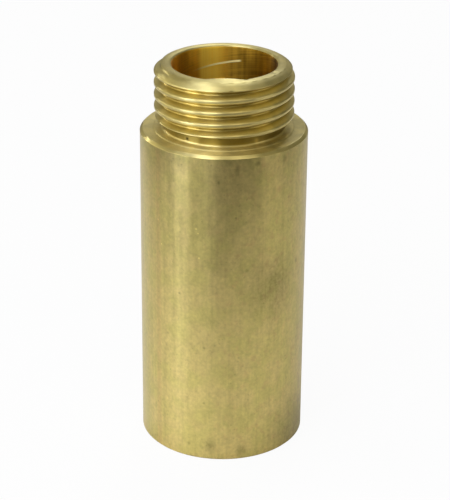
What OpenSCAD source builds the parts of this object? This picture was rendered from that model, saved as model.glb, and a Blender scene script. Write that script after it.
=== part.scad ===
// Pipe extension, turned from one brass bar.
// Origin: centre of the base. +Z runs along the bore, towards the outer thread.

/* [Body] */
// Outside diameter of the plain body
body_d = 25; // [24:0.25:34]
// Length of the plain body, from the base to the shoulder
body_l = 50; // [25:1:100]
// Diameter of the waterway through the whole part
bore_d = 15.5; // [10:0.5:16]
// Chamfer around the base's outer edge
base_chamfer = 0.3; // [0.1:0.1:0.8]
// Chamfer around the shoulder's outer edge
shoulder_chamfer = 0.4; // [0.1:0.1:0.8]

/* [Thread form] */
// Nominal outside diameter of both threads
thread_d = 20.955; // [20.455:0.1:21.455]
// Distance from one crest of the outer thread to the next
pitch = 1.814; // [1.614:0.05:2.064]
// Angle between the two flanks of a groove
flank_angle = 55; // [50:1:60]

/* [Outer thread] */
// Length of the threaded end, from the shoulder to the rim
spigot_l = 10; // [8:0.5:16]
// Taken off the outer thread's diameters, so that it turns freely in its mate
outer_allowance = 0.14; // [0.08:0.02:0.28]
// Length of the plain neck between the shoulder and the thread
neck_l = 1.95; // [1.95:0.1:3.05]
// How far the neck lies below the roots of the thread
neck_depth = 0.1; // [0.1:0.05:0.5]
// Radius of the hollow corner where the neck meets the shoulder
neck_fillet = 1.3; // [0.3:0.1:1.4]

/* [Rim] */
// Radial width of the 45 degree chamfer at the rim's outside, before its upper edge is rounded
rim_chamfer = 1.1; // [0.5:0.1:1.7]
// Radius that rounds the chamfer's upper edge
rim_round = 2; // [0.5:0.25:2]
// Radius that rounds the lip of the waterway
lip_round = 0.5; // [0.2:0.1:0.8]

/* [Socket] */
// Depth of the socket, from the base to its floor
socket_l = 15; // [10:0.5:20]
// Added to the inner thread's diameters, so that its mate turns freely
inner_allowance = 0.14; // [0.08:0.02:0.28]
// Chamfer at the socket's mouth
mouth_chamfer = 1.4; // [0.8:0.1:1.4]

/* [Hidden] */

$fn = 128;
// Flat steps in each turn of the groove
turn_steps = 36;
// How far a cutter stands past the surface that it cuts
overcut = 0.1;
// Part of the sharp V's height that is missing at its crest, and again at its root
truncation = 1 / 6;
// Angle from +X at which the groove leaves the neck
groove_start = 226;
// How far below the thread's first crest the groove begins, inside the neck's free space
groove_lead = 0.05;

// The thread's form
flank_slope = tan(flank_angle / 2);
crest_flat = pitch * truncation;
thread_depth = pitch / (2 * flank_slope) * (1 - 2 * truncation);

// Radii of the outer thread at its crests and roots, and of the inner thread at its crests
crest_r = (thread_d - outer_allowance) / 2;
root_r = crest_r - thread_depth;
socket_r = (thread_d + inner_allowance) / 2 - thread_depth;

// Other radii and heights
body_r = body_d / 2;
bore_r = bore_d / 2;
neck_r = root_r - neck_depth;
total_l = body_l + spigot_l;
neck_top_z = body_l + neck_l;

// The unit vector that points along an angle
function heading(angle) = [cos(angle), sin(angle)];

// Half the width of the groove at a given height above its root
function half_width(above_root) = crest_flat / 2 + above_root * flank_slope;

// A section's corners in space, turned by angle and raised by z
function placed(section, angle, z) = [
    for (corner = section) [corner[0] * cos(angle), corner[0] * sin(angle), z + corner[1]]
];

// The two triangles that join corners j and j + 1 of section i to those of the next section
function side(i, j, n) =
    let (a = i * n + j, b = i * n + (j + 1) % n)
    [[a, b, a + n], [b, b + n, a + n]];

// A right-hand helical cutter. Its section runs from bottom_z, at start_angle, up to top_z.
module helical_cutter(section, bottom_z, top_z, start_angle) {
    turns = (top_z - bottom_z) / pitch;
    steps = ceil(turns * turn_steps);
    n = len(section);
    points = [
        for (i = [0:steps])
            let (turned = turns * i / steps)
            each placed(section, start_angle + 360 * turned, bottom_z + pitch * turned)
    ];
    lower_end = [for (j = [n - 1:-1:0]) j];
    sides = [for (i = [0:steps - 1], j = [0:n - 1]) each side(i, j, n)];
    upper_end = [for (j = [0:n - 1]) steps * n + j];
    polyhedron(points = points, faces = concat([lower_end], sides, [upper_end]));
}

// What lies between a corner of a section and the arc that rounds it. The angles are the
// directions from the arc's centre to its two ends.
module corner_rest(corner, radius, from_angle, to_angle) {
    middle = (from_angle + to_angle) / 2;
    half = (to_angle - from_angle) / 2;
    centre = corner - radius / cos(half) * heading(middle);
    reach = radius + overcut;
    difference() {
        polygon([
            centre,
            centre + reach * heading(from_angle),
            centre + reach / cos(half) * heading(middle),
            centre + reach * heading(to_angle)
        ]);
        translate(centre)
            circle(r = radius);
    }
}

// Half the section of the turned bar, before its ends are rounded
module bar_section() {
    polygon([
        [0, 0],
        [body_r - base_chamfer, 0],
        [body_r, base_chamfer],
        [body_r, body_l - shoulder_chamfer],
        [body_r - shoulder_chamfer, body_l],
        [neck_r, body_l],
        [neck_r, neck_top_z],
        [crest_r, neck_top_z],
        [crest_r, total_l - rim_chamfer],
        [crest_r - rim_chamfer, total_l],
        [0, total_l]
    ]);
}

// Half the section of all that is bored out: the socket and the waterway
module bore_section() {
    polygon([
        [0, -overcut],
        [socket_r + mouth_chamfer + overcut, -overcut],
        [socket_r, mouth_chamfer],
        [socket_r, socket_l],
        [bore_r, socket_l],
        [bore_r, total_l + overcut],
        [0, total_l + overcut]
    ]);
}

// The turned and bored bar, still without its thread
module plain_tube() {
    rotate_extrude()
        difference() {
            union() {
                bar_section();
                corner_rest([neck_r, body_l], neck_fillet, 180, 270);
            }
            bore_section();
            corner_rest([crest_r - rim_chamfer, total_l], rim_round, 45, 90);
            corner_rest([bore_r, total_l], lip_round, 90, 180);
        }
}

// The helical groove of the outer thread, from the neck to above the rim
module thread_groove() {
    open_r = crest_r + overcut;
    reach = half_width(open_r - root_r);
    section = [
        [root_r, -half_width(0)],
        [open_r, -reach],
        [open_r, reach],
        [root_r, half_width(0)]
    ];
    helical_cutter(section, neck_top_z - groove_lead - reach, total_l + overcut + reach, groove_start);
}

// The whole extension
module extension_body() {
    color("#b5a254")
        difference() {
            plain_tube();
            thread_groove();
        }
}

extension_body();
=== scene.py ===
"""A turned brass pipe extension: a plain round body, a neck and a threaded end."""

import math

import bmesh
import bpy
from mathutils import Matrix, Vector


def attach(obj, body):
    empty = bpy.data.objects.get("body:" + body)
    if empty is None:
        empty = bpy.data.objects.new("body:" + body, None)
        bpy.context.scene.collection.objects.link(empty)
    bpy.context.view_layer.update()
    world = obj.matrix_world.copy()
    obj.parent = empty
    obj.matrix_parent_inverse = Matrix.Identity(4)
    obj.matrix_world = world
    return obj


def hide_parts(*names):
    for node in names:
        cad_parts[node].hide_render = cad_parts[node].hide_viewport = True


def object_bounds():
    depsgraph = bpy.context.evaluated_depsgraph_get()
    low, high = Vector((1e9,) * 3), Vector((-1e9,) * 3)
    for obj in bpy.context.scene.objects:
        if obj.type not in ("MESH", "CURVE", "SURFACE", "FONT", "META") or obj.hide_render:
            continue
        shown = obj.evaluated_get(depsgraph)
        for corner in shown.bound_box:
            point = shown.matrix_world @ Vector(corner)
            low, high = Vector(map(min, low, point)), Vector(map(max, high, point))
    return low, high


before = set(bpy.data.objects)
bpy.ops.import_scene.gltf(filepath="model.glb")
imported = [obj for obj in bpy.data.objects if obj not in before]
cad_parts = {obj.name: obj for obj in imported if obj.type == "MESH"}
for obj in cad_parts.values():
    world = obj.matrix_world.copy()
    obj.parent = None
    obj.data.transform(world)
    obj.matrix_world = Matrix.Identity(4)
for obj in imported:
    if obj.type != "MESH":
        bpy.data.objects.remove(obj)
solid_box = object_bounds()

# Sizes, in millimetres. The outside ones are the solid model's own
MM = 0.001
LOW, HIGH = (corner / MM for corner in solid_box)
BODY_R = (HIGH.x - LOW.x) / 2
TOTAL_L = HIGH.z
SPIGOT_L = 10.0
BODY_L = TOTAL_L - SPIGOT_L
BORE_R = 7.75
SOCKET_L = 15.0
SOCKET_R = 9.386
MOUTH_CHAMFER = 1.4
BASE_CHAMFER = 0.3
SHOULDER_CHAMFER = 0.4
EDGE_ROUND = 0.06

PITCH = 1.814
FLANK = math.radians(27.5)
THREAD_DEPTH = 0.6403 * PITCH
CREST_ROUND = 0.1373 * PITCH
CREST_R = 10.4075
CREST_FLAT = 0.14
CREST_TOP = CREST_R + 0.02
ROOT_R = CREST_R - THREAD_DEPTH

# The neck with its hollow corner, the low step around it on the shoulder, and the rim
NECK_R = ROOT_R - 0.1
NECK_TOP = BODY_L + 1.95
HOLLOW = 0.3
STEP_R = 10.2
STEP_H = 0.16
STEP_ROUND = 0.33
RIM_CHAMFER = 1.1
RIM_ROUND = 2.0
LIP_ROUND = 0.5

# The angle of the front, and the height of a crest there on either thread
FRONT = -math.pi / 2
CREST_Z = BODY_L + 1.99
INNER_CREST_Z = 0.6

# Where the outer thread starts, from the neck's top, and where the inner one fades, from the socket's floor
RUN_IN = (-0.45, 0.05)
INNER_FADE = (-3.2, -1.4)

# How widely the threads' own corners are rounded, and the outer thread's corner at the rim
SOFT_CORNER = 0.1
RIM_CORNER = 0.12

# Where the threads' meshes end, from the shoulder, the top, the base and the socket's floor
NECK_SLICE = 1.3
RIM_SLICE = 0.1
MOUTH_SLICE = 0.3
FLOOR_SLICE = 1

# How fine the meshes of the threads are, and how near two points are that count as one
OUTER_GRID = {"columns": 192, "rows": 32}
INNER_GRID = {"columns": 128, "rows": 16}
SECTORS = 16
SAME_POINT = 1e-5

# How far in from the body's side a ring keeps the shoulder flat
FLAT_RING = 1.2

# The waterway's rings, from the top and from the socket's floor, its chamfer there, and its finish's reach
BORE_RINGS = (1.0, 1.6, 2.4, 3.4, 4.6, 6.0, 8.0, 11.0, 16.0)
LOW_BORE_RING = 10
FLOOR_CHAMFER = 0.1
BORE_FINISH_R = BORE_R + 0.1

# The bent stretch of the lip: its turns, where it has faded out, its reach, and its middle's push in and up
BEND_TURNS = range(-18, 19, 4)
BEND_END = 20
BEND_REACH = 0.8
BEND_IN = 0.3
BEND_UP = 0.17

# The other marks in the mesh: radius, turn, height, reach, and how far each is pushed outwards and upwards
NOTCH_TURN = 5.6
NOTCH_HEIGHT = 58.9
MESH_MARKS = {
    "dip in the lip": (BORE_R + 0.2, 23, TOTAL_L, 0.6, 0.05, -0.1),
    "notch in the rim": (CREST_R, NOTCH_TURN, NOTCH_HEIGHT, 0.5, -0.3, 0),
    "nick on the rim": (8.5, 58, TOTAL_L, 0.5, 0.05, -0.12),
    "nick at the lip": (8.06, 110, TOTAL_L, 0.5, 0.05, -0.12),
    "pit in the neck": (9.3, -36, 50.65, 0.4, -0.15, -0.08),
}


# Shape of the threads and of the rim

def crest_drop(across):
    """How far a rounded 55 degree thread lies below its crest, at a distance along the axis from it."""
    across = abs((across + PITCH / 2) % PITCH - PITCH / 2)
    round_end = CREST_ROUND * math.cos(FLANK)
    if across < round_end:
        return CREST_ROUND - math.sqrt(CREST_ROUND ** 2 - across ** 2)
    if across > PITCH / 2 - round_end:
        from_root = PITCH / 2 - across
        return THREAD_DEPTH - CREST_ROUND + math.sqrt(CREST_ROUND ** 2 - from_root ** 2)
    return CREST_ROUND * (1 - math.sin(FLANK)) + (across - round_end) / math.tan(FLANK)


def helix_height(angle, height, crest_height):
    """The distance along the axis from the nearest turn of a right-hand helix."""
    return height - crest_height - PITCH * (angle - FRONT) / math.tau


def smooth_min(a, b, width):
    """The lesser of two lengths, with the corner between them rounded."""
    blend = max(width - abs(a - b), 0) / width
    return min(a, b) - blend * blend * width / 4


def smooth_step(low, high, value):
    """0 below low, 1 above high, and an S curve between."""
    share = min(max((value - low) / (high - low), 0), 1)
    return share * share * (3 - 2 * share)


def rim_radius(height):
    """The radius of the rim's outside, its chamfer and its round shoulder, at a height."""
    corner_r = CREST_R - RIM_CHAMFER
    chamfer_r = corner_r + TOTAL_L - height
    reach = RIM_ROUND * math.tan(math.pi / 8)
    centre_r = corner_r - reach
    above = height - (TOTAL_L - RIM_ROUND)
    if above < RIM_ROUND * math.sin(math.pi / 4):
        return chamfer_r
    return centre_r + math.sqrt(max(RIM_ROUND ** 2 - above ** 2, 0))


def outer_radius(angle, height):
    """The surface of the threaded end between the neck and the rim."""
    cut_r = CREST_R + CREST_FLAT - crest_drop(helix_height(angle, height, CREST_Z))
    thread_r = smooth_min(cut_r, CREST_TOP, 2 * CREST_FLAT)
    free = smooth_step(*RUN_IN, height - NECK_TOP)
    blank_r = NECK_R + (CREST_R - NECK_R) * free
    cut = smooth_min(thread_r, rim_radius(height), RIM_CORNER)
    return max(smooth_min(cut, blank_r, SOFT_CORNER), NECK_R)


def inner_radius(angle, height):
    """The surface of the socket's thread, with its chamfered mouth and its shallow end."""
    depth = THREAD_DEPTH - crest_drop(helix_height(angle, height, INNER_CREST_Z))
    fade = 1 - smooth_step(*INNER_FADE, height - SOCKET_L)
    mouth_r = SOCKET_R + MOUTH_CHAMFER - height
    return -smooth_min(-(SOCKET_R + depth * fade), -mouth_r, SOFT_CORNER)


# Making the mesh

def only(kind, parts):
    """The parts of one kind out of a list of vertices, edges and faces."""
    return [part for part in parts if isinstance(part, kind)]


def helical_tube(low, high, columns, rows, shape):
    """A tube between two heights whose rows of faces follow the thread's helix."""
    bm = bmesh.new()
    start = low - (2 + 0.5 / columns) * PITCH
    count = math.ceil((high - start + PITCH) / PITCH) * rows
    end = start + count * PITCH / rows
    ends = [bmesh.ops.create_vert(bm, co=(1, 0, z))["vert"][0] for z in (start, end)]
    line = bmesh.ops.contextual_create(bm, geom=ends)["edges"]
    bmesh.ops.subdivide_edges(bm, edges=line, cuts=count - 1)
    around = {"cent": (0, 0, 0), "axis": (0, 0, 1), "use_merge": False}
    bmesh.ops.spin(
        bm, geom=bm.verts[:] + bm.edges[:], dvec=(0, 0, PITCH / columns),
        angle=math.tau / SECTORS, steps=columns // SECTORS, **around,
    )
    bmesh.ops.spin(
        bm, geom=bm.verts[:] + bm.edges[:] + bm.faces[:], dvec=(0, 0, PITCH / SECTORS),
        angle=math.tau * (1 - 1 / SECTORS), steps=SECTORS - 1, use_duplicate=True, **around,
    )
    bmesh.ops.remove_doubles(bm, verts=bm.verts, dist=PITCH / rows / 10)
    for height, side in ((low, "clear_inner"), (high, "clear_outer")):
        everything = bm.verts[:] + bm.edges[:] + bm.faces[:]
        bmesh.ops.bisect_plane(
            bm, geom=everything, dist=SAME_POINT, plane_co=(0, 0, height), plane_no=(0, 0, 1),
            **{side: True},
        )
    for vert in bm.verts:
        angle = math.atan2(vert.co.y, vert.co.x)
        radius = shape(angle, vert.co.z)
        vert.co.x, vert.co.y = radius * math.cos(angle), radius * math.sin(angle)
    return bm


def open_rings(bm):
    """The loops of open edges, from the lowest to the highest."""
    left = {edge for edge in bm.edges if edge.is_boundary}
    rings = []
    while left:
        found, ring = [left.pop()], []
        while found:
            edge = found.pop()
            ring.append(edge)
            near = {other for vert in edge.verts for other in vert.link_edges} & left
            left -= near
            found.extend(near)
        rings.append(ring)
    return sorted(rings, key=lambda ring: ring[0].verts[0].co.z)


def collar(tube, which, profile):
    """A surface of revolution that starts at one of a tube's open rings.

    It runs along the profile, which is a list of points as (radius, height).
    """
    bm = tube.copy()
    ring = open_rings(bm)[which]
    kept = {vert for edge in ring for vert in edge.verts}
    bmesh.ops.delete(bm, geom=[vert for vert in bm.verts if vert not in kept], context="VERTS")
    for radius, height in profile:
        was = ring[0].verts[0].co
        factor, rise = radius / was.xy.length, height - was.z
        made = bmesh.ops.extrude_edge_only(bm, edges=ring)["geom"]
        verts = only(bmesh.types.BMVert, made)
        fresh = set(verts)
        ring = [edge for edge in only(bmesh.types.BMEdge, made) if fresh.issuperset(edge.verts)]
        bmesh.ops.scale(bm, vec=(factor, factor, 1), verts=verts)
        bmesh.ops.translate(bm, vec=(0, 0, rise), verts=verts)
    return bm


def joined(parts):
    """Several meshes as one, with their shared rings merged."""
    whole = bmesh.new()
    for part in parts:
        mesh = bpy.data.meshes.new("part")
        part.to_mesh(mesh)
        part.free()
        whole.from_mesh(mesh)
        bpy.data.meshes.remove(mesh)
    seams = list({vert for ring in open_rings(whole) for edge in ring for vert in edge.verts})
    bmesh.ops.remove_doubles(whole, verts=seams, dist=SAME_POINT)
    return whole


def arc(centre, radius, start, end, steps):
    """Points on an arc of a profile, from one angle in degrees to another."""
    angles = [math.radians(start + (end - start) * i / steps) for i in range(steps + 1)]
    return [(centre[0] + radius * math.cos(a), centre[1] + radius * math.sin(a)) for a in angles]


def outside_profile():
    """From the neck down over the shoulder and the body to the base and into the socket's mouth."""
    mouth_r = SOCKET_R + MOUTH_CHAMFER
    edge = EDGE_ROUND
    corner = (NECK_R + HOLLOW, BODY_L + STEP_H + HOLLOW)
    points = arc(corner, HOLLOW, 180, 270, 12)
    points += arc((STEP_R, BODY_L + STEP_H - STEP_ROUND), STEP_ROUND, 90, 35, 5)
    points += [(STEP_R + STEP_ROUND, BODY_L), (BODY_R - FLAT_RING, BODY_L)]
    points += arc((BODY_R - SHOULDER_CHAMFER - edge / 2, BODY_L - edge), edge, 90, 45, 3)
    points += arc((BODY_R - edge, BODY_L - SHOULDER_CHAMFER - edge / 2), edge, 45, 0, 3)
    points += [(BODY_R, BODY_L * share) for share in (0.8, 0.6, 0.4, 0.2)]
    points += arc((BODY_R - edge, BASE_CHAMFER + edge / 2), edge, 0, -45, 3)
    points += arc((BODY_R - BASE_CHAMFER - edge / 2, edge), edge, -45, -90, 3)
    # The soft edge of the socket's mouth
    points += [(mouth_r + 0.05, 0), (mouth_r - 0.1, 0.12)]
    return points


def rim_profile():
    """From the top of the thread over the rim and down the waterway."""
    land_r = CREST_R - RIM_CHAMFER - RIM_ROUND * math.tan(math.pi / 8)
    top_angle = math.degrees(math.asin((RIM_ROUND - RIM_SLICE) / RIM_ROUND))
    points = arc((land_r, TOTAL_L - RIM_ROUND), RIM_ROUND, top_angle, 90, 8)[1:]
    points += arc((BORE_R + LIP_ROUND, TOTAL_L - LIP_ROUND), LIP_ROUND, 90, 180, 10)
    points += [(BORE_R, TOTAL_L - depth) for depth in BORE_RINGS]
    return points


def floor_profile():
    """From the socket's thread over the socket's floor and up the waterway."""
    return [
        (SOCKET_R, SOCKET_L),
        (BORE_R + FLOOR_CHAMFER, SOCKET_L),
        (BORE_R, SOCKET_L + FLOOR_CHAMFER),
        (BORE_R, SOCKET_L + LOW_BORE_RING),
    ]


def wall_point(radius, turn, height):
    """A point on a round wall. Turn is in degrees, 0 at the front, and grows to the right."""
    angle = math.radians(turn)
    return Vector((radius * math.sin(angle), -radius * math.cos(angle), height))


def dent(bm, middle, reach, push):
    """Moves the vertices around a point by up to push, less towards the reach."""
    for vert in bm.verts:
        away = (vert.co - middle).length
        if away < reach:
            vert.co += push * smooth_step(reach, 0, away)


def wear(bm):
    """The marks of use: a bent stretch of the lip, which fades out at its ends, and the smaller marks."""
    for turn in BEND_TURNS:
        bend = math.cos(math.pi / 2 * turn / BEND_END)
        push = wall_point(-BEND_IN * bend, turn, BEND_UP * bend)
        dent(bm, wall_point(BORE_R + 0.2, turn, TOTAL_L), BEND_REACH, push)
    for radius, turn, height, reach, outwards, upwards in MESH_MARKS.values():
        dent(bm, wall_point(radius, turn, height), reach, wall_point(outwards, turn, upwards))


def build_extension():
    """The whole extension as one closed mesh, in millimetres."""
    outside = helical_tube(BODY_L + NECK_SLICE, TOTAL_L - RIM_SLICE, shape=outer_radius, **OUTER_GRID)
    inside = helical_tube(MOUTH_SLICE, SOCKET_L - FLOOR_SLICE, shape=inner_radius, **INNER_GRID)
    body = collar(outside, 0, outside_profile())
    rim = collar(outside, 1, rim_profile())
    floor = collar(inside, 1, floor_profile())
    bm = joined([outside, inside, body, rim, floor])
    base_ring, mouth_ring, low_bore_ring, high_bore_ring = open_rings(bm)
    bmesh.ops.bridge_loops(bm, edges=base_ring + mouth_ring)
    bmesh.ops.bridge_loops(bm, edges=low_bore_ring + high_bore_ring)
    bmesh.ops.recalc_face_normals(bm, faces=bm.faces)
    wear(bm)
    return bm


def finished_piece(bm, name, materials, choose):
    """A piece in metres, shaded smooth, whose faces have the finishes that choose gives them."""
    bmesh.ops.scale(bm, vec=(MM, MM, MM), verts=bm.verts)
    for face in bm.faces:
        face.smooth = True
        face.material_index = choose(face)
    mesh = bpy.data.meshes.new(name)
    bm.to_mesh(mesh)
    bm.free()
    for material in materials:
        mesh.materials.append(material)
    piece = bpy.data.objects.new(name, mesh)
    bpy.context.scene.collection.objects.link(piece)
    return piece


# Materials

DEGREES = 180 / math.pi


class Wire:
    """A number or vector in a node tree. Arithmetic on it adds Math nodes."""

    def __init__(self, nodes, socket):
        self.nodes, self.socket = nodes, socket

    def __add__(self, other):
        return self.nodes.math("ADD", self, other)

    def __sub__(self, other):
        return self.nodes.math("SUBTRACT", self, other)

    def __rsub__(self, other):
        return self.nodes.math("SUBTRACT", other, self)

    def __mul__(self, other):
        return self.nodes.math("MULTIPLY", self, other)

    __radd__ = __add__
    __rmul__ = __mul__


class Nodes:
    """The node tree of a material or of the world."""

    def __init__(self, owner):
        owner.use_nodes = True
        self.tree = owner.node_tree

    def node(self, kind, settings=None, inputs=None, output=0):
        """Adds a node, with its settings first and then the values or links of its sockets."""
        node = self.tree.nodes.new(kind)
        for key, value in (settings or {}).items():
            setattr(node, key, value)
        for key, value in (inputs or {}).items():
            self.feed(node.inputs[key], value)
        return Wire(self, node.outputs[output])

    def feed(self, socket, value):
        """Sets a socket to a value, or links it. A colour is given without its alpha."""
        if isinstance(value, Wire):
            self.tree.links.new(value.socket, socket)
        elif socket.type == "RGBA":
            socket.default_value = (*value, 1)
        else:
            socket.default_value = value

    def math(self, operation, *values):
        """A number from numbers."""
        return self.node("ShaderNodeMath", {"operation": operation}, dict(enumerate(values)))

    def vector(self, operation, *values):
        """A vector from vectors."""
        return self.node("ShaderNodeVectorMath", {"operation": operation}, dict(enumerate(values)))

    def measure(self, operation, *values):
        """A number from vectors, such as a length or a distance."""
        return self.node("ShaderNodeVectorMath", {"operation": operation}, dict(enumerate(values)), output=1)

    def scaled(self, vector, factor):
        """A vector or a colour times a number."""
        return self.node("ShaderNodeVectorMath", {"operation": "SCALE"}, {0: vector, "Scale": factor})

    def split(self, vector):
        """The three numbers of a vector."""
        return [self.node("ShaderNodeSeparateXYZ", None, {0: vector}, i) for i in range(3)]

    def blend(self, factor, a, b):
        """A colour between a and b. The node's colours are its sockets 6 and 7."""
        return self.node("ShaderNodeMix", {"data_type": "RGBA"}, {0: factor, 6: a, 7: b}, output=2)

    def between(self, value, low, high):
        """0 below low, 1 above high, and an S curve between. The other way round if high is the lower."""
        settings = {"interpolation_type": "SMOOTHSTEP"}
        return self.node("ShaderNodeMapRange", settings, {0: value, 1: low, 2: high, 3: 0, 4: 1})

    def noise(self, place, scale, detail=3, roughness=0.5, stretch=(1, 1, 1)):
        """Cloudy noise from 0 to 1.

        Stretch multiplies the place first, so a small number there draws the noise out along that axis.
        """
        place = self.vector("MULTIPLY", place, stretch)
        inputs = {"Vector": place, "Scale": scale, "Detail": detail, "Roughness": roughness}
        return self.node("ShaderNodeTexNoise", None, inputs)


class Finish(Nodes):
    """A brass finish.

    Its place is in millimetres. Its turn is 0 at the front and its back turn 0 at the back, in degrees, and
    both grow to the right.
    """

    def __init__(self, name, anisotropic):
        self.material = bpy.data.materials.new(name)
        super().__init__(self.material)
        self.shader = self.tree.nodes["Principled BSDF"]
        self.set("Metallic", 1)
        self.set("Anisotropic", anisotropic)
        self.set("Anisotropic Rotation", 0.25)
        self.place = self.scaled(self.node("ShaderNodeTexCoord", output="Object"), 1 / MM)
        x, y, self.height = self.split(self.place)
        self.turn = self.math("ARCTAN2", x, y * -1) * DEGREES
        self.back_turn = self.math("ARCTAN2", x, y) * DEGREES
        self.radius = self.math("SQRT", x * x + y * y)

    def set(self, name, value):
        """Sets one of the shader's sockets to a value, or links it."""
        self.feed(self.shader.inputs[name], value)

    def mark(self, middle, size, long=1):
        """A soft mark around a point, 1 at its middle. Long draws it out along the axis."""
        flat = (1, 1, 1 / long)
        place = self.vector("MULTIPLY", self.place, flat)
        middle = [a * b for a, b in zip(middle, flat)]
        return self.between(self.measure("DISTANCE", place, middle), size, 0)

    def marks(self, radius, places):
        """Soft marks at places on a round wall, each given as turn, height, size and length."""
        mask = 0
        for turn, height, size, long in places:
            mask = self.math("MAXIMUM", mask, self.mark(wall_point(radius, turn, height), size, long))
        return mask

    def pits(self, spacing, size):
        """Small round pits scattered at random, 1 in their middles."""
        inputs = {"Vector": self.place, "Scale": 1 / spacing}
        return self.between(self.node("ShaderNodeTexVoronoi", None, inputs), size / spacing, 0)

    def rings(self, scale, lead=0):
        """Fine tool marks around the axis, which climb by a lead in each degree."""
        climb = self.height - self.back_turn * lead
        place = self.node("ShaderNodeCombineXYZ", None, {0: self.radius, 2: climb})
        return self.noise(place, scale, detail=2)

    def around(self, scale):
        """Bars along the axis, as noise that changes with the back turn alone."""
        place = self.node("ShaderNodeCombineXYZ", None, {0: self.back_turn})
        return self.noise(place, scale, detail=2)

    def bump(self, height, depth):
        """A normal from a height pattern whose full range is a depth in millimetres."""
        return self.node("ShaderNodeBump", None, {"Height": height, "Distance": depth * MM})


def swing(pattern, amount):
    """A pattern from 0 to 1 as a change both ways, whose full range is an amount."""
    return (pattern - 0.5) * amount


OLIVE_SKIN = (0.61, 0.515, 0.175)
TAN_SKIN = (0.66, 0.53, 0.2)
RUSTY_SKIN = (0.7, 0.5, 0.2)

# Flecks and stains in the skin of the body: turn, height, size and length
DARK_FLECKS = (
    (16.5, 31.9, 0.45, 1), (-41, 20.3, 0.4, 1), (-12.5, 19.2, 0.4, 1), (8.5, 40.5, 0.3, 1),
    (-31, 27.6, 0.3, 1), (-3, 46, 0.3, 1.5), (9, 48, 0.5, 3), (61, 31, 0.4, 1.5), (-23.5, 2.4, 0.4, 1),
    (-8, 2.5, 1.3, 1.4), (14, 1.6, 1.2, 1.2), (-12.5, 9.8, 0.35, 1), (23, 48.7, 0.6, 1), (45, 48.5, 0.6, 2),
)
BRIGHT_FLECKS = (
    (-18.4, 38.5, 0.28, 1), (-17, 37.8, 0.2, 1), (-46.6, 34.6, 0.22, 1), (-16.3, 33.9, 0.25, 1),
    (-50.2, 38.3, 0.22, 1),
)
# Wide dark marks: stains high on the left and in the middle on the right, and painted shade low on the
# right, the part's mirrored shadow
WIDE_STAINS_AND_SHADE = ((-36, 50, 6, 1), (36, 28.5, 6.5, 1.2), (60, 2, 9, 1))

# The rusty line's turn and half its width, the turns where warmer patches set in, and the heights below
# which it darkens
RUSTY_TURN = -50
RUSTY_EDGE = (4, 0.5)
WARM_PATCHES_FROM = (-25, 10)
DARKER_BELOW = (5, 0.5)


def body_finish():
    """The satin skin of the plain body: lines drawn along it, stains, warmer patches, pits, flecks, and
    painted shade low on the right.
    """
    finish = Finish("satin_brass", 0.75)
    patches = finish.noise(finish.place, 0.3, detail=2)
    stains = finish.noise(finish.place, 0.85, detail=4, roughness=0.65, stretch=(1, 1, 0.7))
    drawn = finish.noise(finish.place, 1.6, detail=3, roughness=0.6, stretch=(1, 1, 0.025))
    mottle = finish.noise(finish.place, 2.2, detail=3)
    crowded = finish.between(finish.noise(finish.place, 0.22, detail=1), 0.42, 0.62)
    pits = finish.pits(0.9, 0.22) * crowded
    dark = finish.marks(BODY_R, DARK_FLECKS)
    bright = finish.marks(BODY_R, BRIGHT_FLECKS)
    # Wide dark marks, the one low on the right painted shade
    wide = finish.marks(BODY_R, WIDE_STAINS_AND_SHADE)
    from_line = finish.math("ABSOLUTE", finish.turn - RUSTY_TURN)
    rusty_line = finish.between(from_line, *RUSTY_EDGE) * finish.between(stains, 0.3, 0.6)
    # Darker in patches towards the base, and warmer, darker patches towards the right
    darker_base = finish.between(finish.height, *DARKER_BELOW) * finish.between(stains, 0.5, 0.72)
    warm_patches = finish.between(finish.noise(finish.place, 0.8, detail=4, roughness=0.65), 0.5, 0.72)
    warm_patches = warm_patches * finish.between(finish.turn, *WARM_PATCHES_FROM)
    colour = finish.blend(finish.between(patches, 0.34, 0.66), OLIVE_SKIN, TAN_SKIN)
    colour = finish.blend(finish.math("MAXIMUM", rusty_line, warm_patches) * 0.6, colour, RUSTY_SKIN)
    gain = 1 + swing(stains, 0.45) + swing(drawn, 0.3) + swing(mottle, 0.4) + bright * 0.5
    gain = gain - pits * 0.2 - dark * 0.3 - wide * 0.3 - darker_base * 0.25 - rusty_line * 0.08 - warm_patches * 0.1
    finish.set("Base Color", finish.scaled(colour, gain))
    finish.set("Roughness", 0.3 + stains * 0.1)
    relief = stains * 0.4 + drawn * 0.2 - pits * 0.5 - dark * 0.4
    finish.set("Normal", finish.bump(relief, 0.03))
    return finish.material


CUT_GOLD = (0.8, 0.67, 0.265)
PALE_GOLD = (0.72, 0.615, 0.25)
DEEP_GOLD = (0.52, 0.38, 0.08)

# The heights and the radii between which the looks of the threaded end set in
GROOVES_ABOVE = (50.3, 50.6)
SHOULDER_BELOW = (50.5, 50.1)
# Below the last crest the neck is darker: painted shade under the crest
NECK_SHADE_BELOW = (51.8, 51.4)
CRESTS_ABOVE = (51.8, 52)
RIM_ABOVE = (58.7, 59.2)
GROOVES_WITHIN = (CREST_R - 0.3, ROOT_R)
CRESTS_BEYOND = (CREST_R - 0.14, CREST_R - 0.02)
SHOULDER_WITHIN = (12.1, 11.9)

# The turns between which the shoulder darkens to the right, and the neck's dark pit and pale spot
RIGHT_LAND = (30, 70)
PIT_MIDDLE = wall_point(NECK_R, -35.5, 50.8)
PALE_SPOT = wall_point(NECK_R, 31, 50.8)
NOTCH_MIDDLE = wall_point(CREST_R - 0.1, NOTCH_TURN, NOTCH_HEIGHT)


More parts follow.
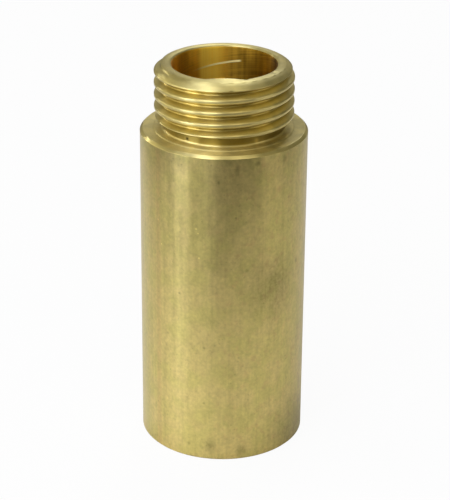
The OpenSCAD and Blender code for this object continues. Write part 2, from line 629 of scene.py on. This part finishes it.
def thread_finish():
    """The brighter cut surfaces: the thread, the rim, the neck and the shoulder."""
    finish = Finish("cut_brass", 0.8)
    patches = finish.noise(finish.place, 0.5, detail=3)
    rings = finish.rings(7)
    groove = finish.between(finish.radius, *GROOVES_WITHIN) * finish.between(finish.height, *GROOVES_ABOVE)
    crest = finish.between(finish.radius, *CRESTS_BEYOND) * finish.between(finish.height, *CRESTS_ABOVE)
    shoulder = finish.between(finish.radius, *SHOULDER_WITHIN)
    shoulder = shoulder * finish.between(finish.height, *SHOULDER_BELOW)
    rim = finish.between(finish.height, *RIM_ABOVE)
    # The neck below the last crest, darkened as painted shade under the crest
    neck = groove * finish.between(finish.height, *NECK_SHADE_BELOW)
    right_land = shoulder * finish.between(finish.turn, *RIGHT_LAND)
    grime = finish.noise(finish.place, 0.35, detail=4, stretch=(1, 1, 0.3))
    dirt = shoulder * finish.between(grime, 0.4, 0.6)
    hollows = finish.math("MAXIMUM", finish.mark(PIT_MIDDLE, 0.45), finish.mark(NOTCH_MIDDLE, 0.4))
    pale = finish.mark(PALE_SPOT, 0.6)
    colour = finish.blend(groove * 0.8, CUT_GOLD, DEEP_GOLD)
    colour = finish.blend(rim * 0.8, colour, PALE_GOLD)
    gain = 1 + swing(patches, 0.5) + swing(rings, 0.15) + pale * 0.5
    gain = gain - hollows * 0.7 - neck * 0.3 - right_land * 0.15 - dirt * 0.12
    finish.set("Base Color", finish.scaled(colour, gain))
    finish.set("Roughness", 0.27 + patches * 0.08 + crest * 0.05 + rim * 0.06 + shoulder * 0.18)
    finish.set("Normal", finish.bump(rings * 0.5 + patches * 0.5, 0.02))
    return finish.material


AMBER = (0.95, 0.53, 0.05)
# The scuffed strip's colour, bright enough to paint the highlight down the back of the waterway
SCUFFED_AND_LIT = (1, 0.67, 0.07)
SCRATCHED = (1, 0.88, 0.36)

# The drill's marks climb by this much in each degree, and the scratch climbs with them
BORE_LEAD = 0.0235

# The scratch's height at the middle of the back, half its width, and the back turns where it starts and ends
SCRATCH_HEIGHT = 57.27
SCRATCH_EDGE = (0.2, 0.09)
SCRATCH_START = (-42, -6)
SCRATCH_END = (20, 16)

# The back turns where the scuffed strip, which also paints a highlight, starts and ends, and where painted
# shade darkens the wall
SCUFFS_AND_HIGHLIGHT_START = (-33, -25)
SCUFFS_AND_HIGHLIGHT_END = (9, -12)
BORE_SHADE_FROM = (-3, 9)


def bore_finish():
    """The amber waterway and socket: drill's marks, a scuffed strip that doubles as a painted highlight,
    painted shade and one long scratch.
    """
    finish = Finish("bored_brass", 1)
    rings = finish.rings(6, BORE_LEAD)
    patches = finish.noise(finish.place, 0.6, detail=2)
    bars = finish.around(0.14)
    climb = finish.height - finish.back_turn * BORE_LEAD
    scratch = finish.between(finish.math("ABSOLUTE", climb - SCRATCH_HEIGHT), *SCRATCH_EDGE)
    scratch = scratch * finish.between(finish.back_turn, *SCRATCH_START)
    scratch = scratch * finish.between(finish.back_turn, *SCRATCH_END)
    # A scuffed strip that also paints a highlight, the bright streak down the back wall
    scuffs_and_highlight = finish.between(finish.back_turn, *SCUFFS_AND_HIGHLIGHT_START) * finish.between(finish.back_turn, *SCUFFS_AND_HIGHLIGHT_END)
    scuffs_and_highlight = scuffs_and_highlight * finish.between(finish.around(0.9), 0.2, 0.55)
    # Painted shade darkens the wall towards the right
    bore_shade = finish.between(finish.back_turn, *BORE_SHADE_FROM)
    gain = 1 + swing(rings, 0.5) + swing(patches, 0.3) + swing(bars, 0.5) - bore_shade * 0.67
    colour = finish.blend(scuffs_and_highlight * 0.85, finish.scaled(AMBER, gain), SCUFFED_AND_LIT)
    colour = finish.blend(scratch, colour, SCRATCHED)
    finish.set("Base Color", colour)
    finish.set("Roughness", 0.4 + rings * 0.1 + scratch * 0.2)
    finish.set("Metallic", 1 - finish.math("MAXIMUM", scratch, scuffs_and_highlight * 0.6))
    finish.set("Normal", finish.bump(rings * 0.5 + scratch * 0.5, 0.02))
    return finish.material


# The extension

BODY_FINISH, THREAD_FINISH, BORE_FINISH = range(3)


def finish_index(face):
    """Which finish a face of the extension has. The flat base has the body's."""
    centre = face.calc_center_median() / MM
    radius = centre.xy.length
    on_side = radius > BODY_R - SHOULDER_CHAMFER - EDGE_ROUND and centre.z < BODY_L - SHOULDER_CHAMFER
    on_base = centre.z <= 0
    if on_side or on_base:
        return BODY_FINISH
    in_socket = centre.z < BODY_L / 2
    return BORE_FINISH if radius < BORE_FINISH_R or in_socket else THREAD_FINISH


extension = finished_piece(
    build_extension(), "turned_extension", [body_finish(), thread_finish(), bore_finish()], finish_index,
)
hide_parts("extension_body")
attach(extension, "root")


# Stage

# How much of the sheet's white is its own where the camera looks, and where the brass mirrors it
CAMERA_WHITE = 0.94
MIRRORED_WHITE = 0.39

# The mirrored sheet is greyer towards the right, which is painted shade, and has no white of its own in the
# part's shadow and under the part, painted shade too. Places and distances on the floor are in metres
SHADED_SIDE = (0.966, 0.259, 0)
SHADED_FROM = (0.3, 0.7)
SIDE_SHADE_DROP = 0.38
SHADOW_MIDDLE = (0.022, 0.004, 0)
SHADOW_EDGE = (0.012, 0.032)
CONTACT_SHADE_EDGE = (0.0125, 0.0155)

# The white sheet that the part stands on, its middle and where it ends, and the grey table under it
SHEET_WHITE = (0.9, 0.9, 0.9)
SHEET_MIDDLE = (0.035, 0.1, 0)
SHEET_EDGE = (0.195, 0.165)
TABLE_GREY = (0.05, 0.05, 0.05)
TABLE_REACH = 3

# The tent's tint and brightness, how much brighter it is low on the left and behind the part, and how much
# darker at the back right
TENT_TINT = (1.05, 1, 0.75)
TENT_LEVEL = 0.26
TENT_LOW_LEFT = 1.05
TENT_BACKDROP = 0.16
TENT_BACK_RIGHT = 0.1

# Tints of the light, and how far from the part the soft boxes are, in metres
WHITE = (1, 1, 1)
COOL = (0.94, 1, 1.25)
WARM = (1.05, 1, 0.92)
BOX_DISTANCE = 0.6

# Soft boxes: azimuth, elevation, width and height in metres, brightness, where 1 is white, and tint
SOFT_BOXES = {
    "key": (-58, 7, 0.24, 0.14, 6.6, COOL),
    "left": (-82, 6, 0.24, 0.13, 1.3, COOL),
    "left_strip": (-129, 14, 0.02, 0.3, 10, WHITE),
    "front_left": (-25, 11, 0.23, 0.14, 1.9, COOL),
    "high_front": (-28, 42, 0.28, 0.16, 6.2, COOL),
    "high_left": (-60, 28, 0.2, 0.16, 1.6, COOL),
    "high_right": (10, 30, 0.2, 0.16, 0.6, WARM),
    "overhead": (-28, 66, 0.18, 0.22, 1, WARM),
    "overhead_left": (-110, 72, 0.16, 0.16, 4.1, COOL),
    "overhead_right": (30, 75, 0.16, 0.16, 1, WARM),
    "high_back": (170, 60, 0.16, 0.16, 4.5, COOL),
    "back": (166, 40, 0.16, 0.24, 1.25, COOL),
    "low_back": (-178, 33, 0.16, 0.16, 0.95, COOL),
    "bore_strip": (33, 50, 0.28, 0.14, 1.5, WARM),
    "right": (66, 8, 0.36, 0.17, 1.1, WARM),
}


def make_floor():
    """A white sheet on a wide grey table.

    The camera sees it white all over, with the part's soft shadow. The brass mirrors it with its edge.
    """
    bm = bmesh.new()
    bmesh.ops.create_grid(bm, x_segments=1, y_segments=1, size=TABLE_REACH)
    mesh = bpy.data.meshes.new("floor")
    bm.to_mesh(mesh)
    bm.free()
    floor = bpy.data.objects.new("floor", mesh)
    bpy.context.scene.collection.objects.link(floor)
    material = bpy.data.materials.new("floor_sheet")
    sheet = Nodes(material)
    place = sheet.node("ShaderNodeTexCoord", output="Object")
    camera_ray = sheet.node("ShaderNodeLightPath", output="Is Camera Ray")
    mirrored = sheet.node("ShaderNodeLightPath", output="Is Glossy Ray")
    within = sheet.between(sheet.measure("DISTANCE", place, SHEET_MIDDLE), *SHEET_EDGE)
    on_sheet = sheet.math("MAXIMUM", camera_ray, within)
    colour = sheet.blend(on_sheet, TABLE_GREY, SHEET_WHITE)
    sent_back = sheet.node("ShaderNodeBsdfDiffuse", None, {"Color": colour})
    white = sheet.node("ShaderNodeEmission", None, {"Strength": 1.0})
    rightness = sheet.measure("DOT_PRODUCT", sheet.vector("NORMALIZE", place), SHADED_SIDE)
    # Less of its own white towards the right, in the part's shadow and under the part: painted shade
    level = MIRRORED_WHITE - sheet.between(rightness, *SHADED_FROM) * SIDE_SHADE_DROP
    level = level * sheet.between(sheet.measure("DISTANCE", place, SHADOW_MIDDLE), *SHADOW_EDGE)
    level = level * sheet.between(sheet.measure("LENGTH", place), *CONTACT_SHADE_EDGE)
    own_white = camera_ray * CAMERA_WHITE + mirrored * on_sheet * level
    mixed = sheet.node("ShaderNodeMixShader", None, {0: own_white, 1: sent_back, 2: white})
    sheet.feed(sheet.tree.nodes["Material Output"].inputs["Surface"], mixed)
    mesh.materials.append(material)


def make_tent():
    """White where the camera looks, and elsewhere a soft grey light that is brighter low on the left.

    Each direction in it has a part to the right, a part to the back and a part upwards, from -1 to 1.
    """
    world = bpy.data.worlds.new("white_tent")
    tent = Nodes(world)
    right, back, up = tent.split(tent.node("ShaderNodeTexCoord", output="Generated"))
    back_right = tent.between(right, 0, 0.6) * tent.between(back, -0.2, 0.3)
    backdrop = tent.between(back, 0.6, 0.85) * tent.between(up, 0.3, 0.1)
    low_left = tent.between(right, 0, -0.6) * tent.between(up, 0.6, 0.3) * tent.between(back, 0.7, 0.3)
    level = TENT_LEVEL + low_left * TENT_LOW_LEFT + backdrop * TENT_BACKDROP - back_right * TENT_BACK_RIGHT
    camera_ray = tent.node("ShaderNodeLightPath", output="Is Camera Ray")
    background = tent.tree.nodes["Background"]
    tent.feed(background.inputs["Color"], tent.blend(camera_ray, TENT_TINT, WHITE))
    tent.feed(background.inputs["Strength"], camera_ray + (1 - camera_ray) * level)
    bpy.context.scene.world = world


def make_soft_box(name, azimuth, elevation, wide, tall, brightness, tint):
    """A soft box that faces the part. Azimuth 0 is the camera's side, and it grows to the right."""
    turn, rise = math.radians(azimuth), math.radians(elevation)
    towards = Vector((math.sin(turn) * math.cos(rise), -math.cos(turn) * math.cos(rise), math.sin(rise)))
    part_middle = Vector((0, 0, TOTAL_L / 2 * MM))
    data = bpy.data.lights.new(name, "AREA")
    data.shape = "RECTANGLE"
    data.size, data.size_y = wide, tall
    data.energy = brightness * wide * tall * math.pi
    data.color = tint
    lamp = bpy.data.objects.new(name, data)
    lamp.location = towards * BOX_DISTANCE + part_middle
    lamp.rotation_euler = towards.to_track_quat("Z", "Y").to_euler()
    bpy.context.scene.collection.objects.link(lamp)


def make_camera():
    """The camera, in front of the part and above it, at a distance in millimetres."""
    elevation = math.radians(24.55)
    distance = 288.07
    aim = Vector((0, 0, 29.758))
    pan, roll = math.radians(0.06), math.radians(0.45)
    focal_px, tall_px = 1883.944, 500
    ahead = Vector((0, math.cos(elevation), -math.sin(elevation)))
    right = Vector((1, 0, 0))
    up = right.cross(ahead)
    place = aim - ahead * distance
    ahead, right = (
        ahead * math.cos(pan) + right * math.sin(pan),
        right * math.cos(pan) - ahead * math.sin(pan),
    )
    right, up = right * math.cos(roll) + up * math.sin(roll), up * math.cos(roll) - right * math.sin(roll)
    data = bpy.data.cameras.new("camera")
    data.sensor_width = 36
    data.lens = focal_px / tall_px * data.sensor_width
    data.clip_start = 0.01
    camera = bpy.data.objects.new("camera", data)
    camera.matrix_world = Matrix((right, up, -ahead)).transposed().to_4x4()
    camera.location = place * MM
    bpy.context.scene.collection.objects.link(camera)
    bpy.context.scene.camera = camera


make_floor()
make_tent()
make_camera()
for name, settings in SOFT_BOXES.items():
    make_soft_box(name, *settings)
bpy.context.scene.view_settings.view_transform = "Standard"
